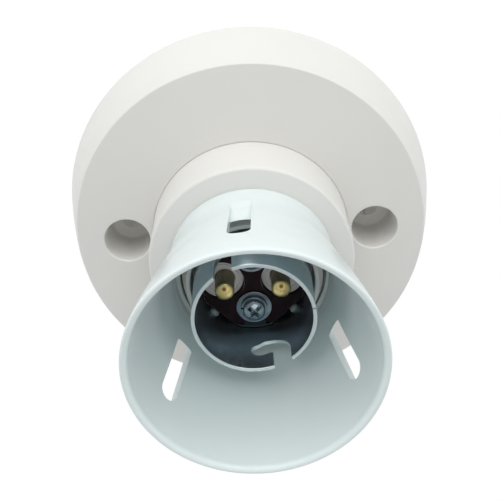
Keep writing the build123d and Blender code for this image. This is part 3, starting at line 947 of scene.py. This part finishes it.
def make_skirt(materials):
    """Skirt with its inner thread and its slots, which run out on a ramp towards the collar."""
    skirt = lathe("skirt_shell", skirt_profile())
    end_r = slot_width / 2
    ramp_start_z = slot_start_z + slot_ramp_overlap
    ramp_end_z = slot_start_z - slot_ramp
    cutters = []
    for k in range(slot_count):
        angle = slot_angle + k * 360 / slot_count
        outline = [(slot_start_z, -end_r), (slot_end_z - end_r, -end_r)]
        outline += arc_points((slot_end_z - end_r, 0), end_r, -pi / 2, pi / 2)[1:]
        outline.append((slot_start_z, end_r))
        cutters.append(prism("slot", outline, slot_floor_r, lip_r + OVERSHOOT, upright(angle, 0, 0)))
        ramp = [(ramp_start_z, slot_floor_r), (ramp_start_z, lip_r), (ramp_end_z, lip_r)]
        ramp.append((ramp_end_z, slot_floor_r + slot_ramp_rise))
        cutters.append(prism("ramp", ramp, -end_r, end_r, sideways(angle)))
    combine(skirt, "DIFFERENCE", cutters)
    smooth(skirt, bevel=skirt_edge)
    dress(skirt, materials["skirt_plastic"], "skirt_plastic", "skirt", "skirt")
    ridge = thread_ridge(
        "skirt_thread",
        skirt_thread_root_r,
        skirt_thread_crest_r,
        skirt_thread_start_z,
        skirt_thread_top_z,
    )
    smooth(ridge, THREAD_SMOOTH_BELOW)
    dress(ridge, materials["skirt_plastic"], "skirt_plastic", "skirt")


def j_slot_outline():
    """J-slot seen square to its middle: first axis towards the entry, second towards the floor."""
    entry = (sleeve_inner_r + sheet / 2) * sin(radians(j_half_span))
    near = entry - j_entry_width / 2
    far = entry + j_entry_width / 2
    points = [(near, -OVERSHOOT), (far, -OVERSHOOT)]
    ramp = (far - j_crest, j_depth - j_ramp_depth)
    quarter = arc_points((0, 0), 1, 0, pi / 2)
    points += [(j_crest + ramp[0] * x, j_ramp_depth + ramp[1] * y) for x, y in quarter]
    seat = arc_points((-entry, j_seat_depth), j_seat_r, j_seat_start, j_seat_end)
    run = j_crest - seat[0][0]
    points += hermite(points[-1], seat[0], (-run, 0), (-run, -j_ramp_lean * run), 6) + seat
    nib = arc_points((near - j_nib_r, j_inner_depth - j_nib_r), j_nib_r, pi / 2, 0)
    run = nib[0][0] - seat[-1][0]
    points += hermite(seat[-1], nib[0], (run, j_nib_lean * run), (run, 0), 8) + nib
    return points


def seam_outline():
    """Thin closed strip along the seam, round its two dovetail teeth."""
    length = sleeve_mouth_z - floor_z
    line = [(length + OVERSHOOT, 0)]
    for share in seam_tooth_shares:
        middle = share * length
        line.append((middle + seam_neck, 0))
        line.append((middle + seam_tooth, seam_tooth))
        line.append((middle - seam_tooth, seam_tooth))
        line.append((middle - seam_neck, 0))
    line.append((-OVERSHOOT, 0))
    return strip(line, seam_gap)


def make_sleeve(materials):
    """Rolled sleeve with its J-slots, seam, tabs and dimples."""
    sleeve = lathe(
        "sleeve_tube",
        rounded(
            [
                (sleeve_inner_r, floor_z, 0.05),
                (sleeve_outer_r, floor_z, 0.05),
                (sleeve_outer_r, sleeve_mouth_z, 0.14),
                (sleeve_inner_r, sleeve_mouth_z, 0.14),
            ]
        ),
    )
    cutters = []
    for turn in (0, 180):
        place = upright(j_middle_angle + turn, 0, sleeve_mouth_z)
        flat = [(-depth, -across) for across, depth in j_slot_outline()]
        cutters.append(prism("j_slot", flat, sleeve_inner_r / 2, sleeve_outer_r + PAST, place))
    window = tab_width + 2 * tab_relief
    for side in (-1, 1):
        middle = (0, side * (sleeve_inner_r + sheet / 2))
        outline = rectangle(window, tab_window_reach, middle)
        cutters.append(prism("window", outline, floor_z - PAST, tab_top_z - sheet))
    for angle in dimple_angles:
        ball = lathe("hollow", arc_points((0, 0), dimple_hollow_r, -pi / 2, pi / 2), AROUND_HOLLOW)
        spot = upright(angle, sleeve_outer_r + dimple_hollow_shift, tab_top_z - dimple_drop)
        ball.data.transform(Matrix.Translation(spot.translation * MM))
        cutters.append(ball)
    place = upright(seam_angle, 0, floor_z)
    cutters.append(prism("seam", seam_outline(), sleeve_inner_r / 2, sleeve_outer_r + PAST, place))
    combine(sleeve, "DIFFERENCE", cutters)
    smooth(sleeve, bevel=sheet_edge)
    dress(sleeve, materials["plated_sheet"], "plated_sheet", "holder", "bayonet_sleeve")
    make_tabs(materials)
    make_dimples(materials)


def tab_outline(side, margin=0.0):
    """Outline of a tongue from the wall to its round tip, widened at its root."""
    half = tab_width / 2 + margin
    root = arc_points((half + tab_root, sleeve_inner_r - tab_root), tab_root, pi / 2, pi)
    outline = [(half + tab_root, sleeve_inner_r + tab_root_sink)] + root
    outline += arc_points((0, screw_y), half, 0, -pi)
    outline += [(-x, y) for x, y in reversed(root)]
    outline.append((-half - tab_root, sleeve_inner_r + tab_root_sink))
    return [(x, side * y) for x, y in outline]


def make_tabs(materials):
    """Tongues bent in from the sleeve's wall under the washers."""
    low = tab_top_z - sheet
    for index, side in enumerate((-1, 1)):
        tab = prism(f"sleeve_tab_{index}", tab_outline(side), low, tab_top_z)
        inner_r = sleeve_inner_r - tab_bend
        sunk_r = sleeve_inner_r + tab_root_sink
        bend = [(sunk_r, low + tab_bend_sink), (inner_r, low + tab_bend_sink)]
        bend += arc_points((inner_r, tab_top_z + tab_bend), tab_bend, -pi / 2, 0)
        bend.append((sunk_r, tab_top_z + tab_bend))
        ring = lathe("bend", bend)
        reach = tab_width + 2 * tab_root
        outline = rectangle(reach, tab_window_reach, (0, side * sleeve_inner_r))
        block = prism("reach", outline, low, low + tab_window_reach)
        combine(ring, "INTERSECT", [block])
        combine(tab, "UNION", [ring])
        round_hole = circle(screw_hole_r, (0, side * screw_y), AROUND_FINE)
        hole = prism("hole", round_hole, tab_top_z - OVERSHOOT, tab_top_z + OVERSHOOT)
        combine(tab, "DIFFERENCE", [hole])
        smooth(tab, bevel=sheet_edge)
        # The tabs take the near-black finish, which is painted shade
        dress(tab, materials["painted_shade_sheet"], "plated_sheet", "holder")


def make_dimples(materials):
    """Round dimples pressed in from the sleeve's wall at the plate's rim."""
    for k, angle in enumerate(dimple_angles):
        low = dimple_height - dimple_r
        outline = [(0.0, low - dimple_sink), (dimple_r, low - dimple_sink)]
        outline += arc_points((0, low), dimple_r, 0, pi / 2)
        dome = lathe(f"dimple_{k}", outline, AROUND_FINE)
        way = outwards(angle)
        turn = Vector((0, 0, 1)).rotation_difference(-way).to_matrix().to_4x4()
        spot = way * sleeve_inner_r + Vector((0, 0, tab_top_z - dimple_drop))
        dome.data.transform(Matrix.Translation(spot * MM) @ turn)
        smooth(dome)
        dress(dome, materials["pressed_sheet"], "plated_sheet", "holder")


def make_plate(materials):
    """Eight-sided plate with openings for the plunger bosses and notches for the tabs."""
    plate_r = sleeve_inner_r - plate_gap
    turn = Matrix.Rotation(pi / plate_sides, 4, "Z")
    plate = prism("plate", circle(plate_r, around=plate_sides), floor_z, tab_top_z, turn)
    notch_z = tab_top_z - sheet
    cutters = []
    for side in (-1, 1):
        opening = circle(plunger_boss_r + plate_boss_gap, (side * plunger_boss_x, 0), AROUND_BOSS)
        cutters.append(prism("opening", opening, floor_z - PAST, tab_top_z + PAST))
        cutters.append(prism("notch", tab_outline(side, plate_tab_gap), notch_z, tab_top_z + PAST))
        screw_bore = circle(screw_hole_r, (0, side * screw_y), AROUND_FINE)
        cutters.append(prism("screw_bore", screw_bore, floor_z - PAST, tab_top_z + PAST))
    combine(plate, "DIFFERENCE", cutters)
    smooth(plate, bevel=plate_edge, segments=1)
    dress(plate, materials["phenolic"], "phenolic", "holder", "insulating_plate")


def make_plungers(materials):
    """Contact plungers with a shoulder, a tail for the spring and a domed tip."""
    for side, body in ((1, "plunger_left"), (-1, "plunger_right")):
        back_z = plunger_shoulder_front_z - plunger_shoulder
        outline = [(0, back_z - plunger_tail), (plunger_tail_r, back_z - plunger_tail)]
        outline += [(plunger_tail_r, back_z), (plunger_shoulder_r, back_z)]
        outline += [(plunger_shoulder_r, plunger_shoulder_front_z)]
        outline += [(plunger_r, plunger_shoulder_front_z)]
        quarter = arc_points((0, 0), 1, 0, plunger_dome_end)
        low = plunger_tip_z - plunger_dome
        outline += [(plunger_r * x, low + plunger_dome * y) for x, y in quarter]
        outline += [(plunger_crown_r, plunger_tip_z - plunger_crown_edge)]
        outline += [(0, plunger_tip_z - plunger_crown_sink)]
        pin = lathe(f"contact_{body}", outline, AROUND_SMALL, (side * plunger_x, 0))
        smooth(pin)
        dress(pin, materials["brass"], "brass", body, body)


def make_screws(materials):
    """Clamping screws with cross recesses, over spring washers and flat washers."""
    washer_z = tab_top_z
    ring_z = washer_z + flat_washer
    head_z = ring_z + spring_washer
    for index, side in enumerate((-1, 1)):
        middle = (0, side * screw_y)
        washer = lathe(
            f"flat_washer_{index}",
            rounded(
                [
                    (screw_hole_r, washer_z, 0.05),
                    (flat_washer_r, washer_z, 0.1),
                    (flat_washer_r, ring_z, 0.16),
                    (screw_hole_r, ring_z, 0.05),
                ]
            ),
            AROUND_HOLE,
            middle,
        )
        smooth(washer)
        dress(washer, materials["plated_screw"], "plated_screw", "holder", "flat_washers")
        ring = make_spring_ring(f"spring_washer_{index}", middle, ring_z)
        dress(ring, materials["plated_screw"], "plated_screw", "holder", "spring_washers")
        screw = make_screw(f"sleeve_screw_{index}", middle, head_z, screw_turns[index])
        dress(screw, materials["plated_screw"], "plated_screw", "holder", "sleeve_screws")


def make_spring_ring(name, middle, low):
    """Split ring, a square wire bent to one turn with a slanted cut."""
    inner = spring_washer_r - spring_washer_ring
    high = low + spring_washer
    ring = lathe(
        name,
        rounded(
            [
                (inner, low, 0.08),
                (spring_washer_r, low, 0.08),
                (spring_washer_r, high, 0.12),
                (inner, high, 0.08),
            ]
        ),
        AROUND_HOLE,
        middle,
    )
    centre = Matrix.Translation((middle[0], middle[1], (low + high) / 2))
    lean = centre @ Matrix.Rotation(spring_cut_lean, 4, "X")
    outline = rectangle(spring_washer_r * 2, spring_cut, (spring_washer_r, 0))
    cut = prism("cut", outline, -spring_cut_reach, spring_cut_reach, lean)
    combine(ring, "DIFFERENCE", [cut])
    smooth(ring)
    return ring


def make_screw(name, middle, head_z, turn):
    """Pan head screw with a tapered cross recess and one longer, shallower slot."""
    crown = head_z + screw_head
    point_z = head_z - screw_length + screw_head
    shank_r = screw_r - screw_thread_fit
    rim = (screw_head_r, crown - screw_crown)
    outline = [(0, point_z), (screw_point_r, point_z), (shank_r, point_z + screw_point_z)]
    outline += [(shank_r, head_z), (screw_head_r, head_z), rim]
    outline += hermite(rim, (0, crown), (0, screw_crown_rise), (-screw_crown_run, 0), 10)
    outline += [(0, crown)]
    screw = lathe(name, outline, AROUND_SMALL, middle)
    place = Matrix.Translation((middle[0], middle[1], 0)) @ Matrix.Rotation(turn, 4, "Z")
    cutters = []
    for quarter in (0, 90):
        spin = place @ Matrix.Rotation(radians(quarter), 4, "Z")
        bm = bmesh.new()
        top = [bm.verts.new((x, y, crown + recess_rise)) for x, y in rectangle(*recess_mouth)]
        bottom = [bm.verts.new((x, y, crown - recess_depth)) for x, y in rectangle(*recess_end)]
        bm.faces.new(top)
        bm.faces.new(bottom)
        for i in range(4):
            n = (i + 1) % 4
            bm.faces.new((bottom[i], bottom[n], top[n], top[i]))
        bmesh.ops.transform(bm, matrix=spin, verts=bm.verts)
        cutters.append(mesh_object("recess", bm))
    slot = prism("slot", rectangle(*screw_slot), crown - screw_slot_depth, crown + PAST, place)
    cutters.append(slot)
    combine(screw, "DIFFERENCE", cutters)
    smooth(screw)
    return screw


def dress_nodes(materials):
    """Gives the model's own pieces that stay their finishes."""
    slots = {row["node"]: row["material_slot"] for row in frame["record"]["subparts"]}
    for name, obj in frame["nodes"].items():
        obj.data.materials.clear()
        obj.data.materials.append(materials[slots[name]])
        for polygon in obj.data.polygons:
            polygon.material_index = 0


def make_floor():
    """Large pale floor that keeps the object's shadow, and looks white also in metal and glass."""
    bm = bmesh.new()
    bmesh.ops.create_grid(bm, x_segments=1, y_segments=1, size=FLOOR_REACH)
    for vert in bm.verts:
        vert.co.z = FLOOR_Z
    floor = mesh_object("floor", bm)
    finish = Finish("floor_paint", (0.92, 0.92, 0.92), 0.9)
    grain = finish.noise(30, 2)
    finish.colour(finish.mix(finish.spread(grain, 0, 1), (0.91, 0.91, 0.91), (0.93, 0.93, 0.93)))
    white = finish.node("ShaderNodeEmission", Strength=FLOOR_GLOW, Color=(1, 1, 1, 1))
    path = finish.node("ShaderNodeLightPath")
    seen = path.outputs["Is Camera Ray"]
    for kind in ("Is Glossy Ray", "Is Transmission Ray"):
        seen = finish.math("MAXIMUM", seen, path.outputs[kind])
    mixer = finish.node("ShaderNodeMixShader")
    finish.link(finish.math("MULTIPLY", seen, FLOOR_GLOW_SHARE), mixer.inputs["Fac"])
    finish.link(finish.shader.outputs["BSDF"], mixer.inputs[1])
    finish.link(white.outputs["Emission"], mixer.inputs[2])
    output = finish.tree.nodes["Material Output"]
    finish.link(mixer.outputs["Shader"], output.inputs["Surface"])
    floor.data.materials.append(finish.material)


def make_world():
    """Pale surroundings, brighter near the horizon than overhead."""
    world = bpy.data.worlds.new("studio")
    bpy.context.scene.world = world
    world.use_nodes = True
    tree = world.node_tree
    background = tree.nodes["Background"]
    place = tree.nodes.new("ShaderNodeTexCoord")
    split = tree.nodes.new("ShaderNodeSeparateXYZ")
    tree.links.new(place.outputs["Generated"], split.inputs["Vector"])
    ramp = tree.nodes.new("ShaderNodeMapRange")
    ramp.inputs["To Min"].default_value = SKY_AT_HORIZON
    ramp.inputs["To Max"].default_value = SKY_OVERHEAD
    tree.links.new(split.outputs["Z"], ramp.inputs["Value"])
    tree.links.new(ramp.outputs["Result"], background.inputs["Strength"])
    background.inputs["Color"].default_value = (*SKY_COLOUR, 1)


def area_light(name, place, aim, size, power):
    """Square white lamp at a place, turned to a point."""
    data = bpy.data.lights.new(name, "AREA")
    data.shape = "SQUARE"
    data.size = size
    data.energy = power
    light = bpy.data.objects.new(name, data)
    light.location = place
    light.rotation_mode = "QUATERNION"
    light.rotation_quaternion = (Vector(aim) - Vector(place)).to_track_quat("-Z", "Y")
    bpy.context.scene.collection.objects.link(light)


def make_lights():
    """A wide lamp beyond the base and a faint one above the mouth."""
    area_light("key", KEY_PLACE, KEY_AIM, KEY_SIZE, KEY_POWER)
    area_light("overhead", OVERHEAD_PLACE, OVERHEAD_AIM, OVERHEAD_SIZE, OVERHEAD_POWER)


def make_camera():
    """Camera at the photograph's angle: it looks down from -Y, and is turned half round."""
    data = bpy.data.cameras.new("camera")
    data.sensor_width = SENSOR_WIDTH
    data.lens = CAMERA_LENS
    data.clip_start = 0.01
    camera = bpy.data.objects.new("camera", data)
    forward = Vector((0, cos(CAMERA_ELEVATION), -sin(CAMERA_ELEVATION)))
    right = Vector((-1, 0, 0))
    up = Vector((0, -sin(CAMERA_ELEVATION), -cos(CAMERA_ELEVATION)))
    image_right = cos(CAMERA_ROLL) * right + sin(CAMERA_ROLL) * up
    image_up = -sin(CAMERA_ROLL) * right + cos(CAMERA_ROLL) * up
    place = (Vector(CAMERA_AIM) - forward * CAMERA_DISTANCE) * MM
    rows = [(image_right[i], image_up[i], -forward[i], place[i]) for i in range(3)]
    spin = Matrix.Rotation(CAMERA_AZIMUTH, 4, "Z")
    camera.matrix_world = spin @ Matrix(rows + [(0, 0, 0, 1)])
    bpy.context.scene.collection.objects.link(camera)
    bpy.context.scene.camera = camera


def main():
    """Builds all pieces, finishes, lamps and the camera, and sets the view transform."""
    make_camera()
    materials = make_materials()
    dress_nodes(materials)
    make_base(materials)
    make_spigot_thread(materials)
    make_skirt(materials)
    make_sleeve(materials)
    make_plate(materials)
    make_plungers(materials)
    make_screws(materials)
    make_floor()
    make_world()
    make_lights()
    bpy.context.scene.view_settings.view_transform = "Standard"


main()
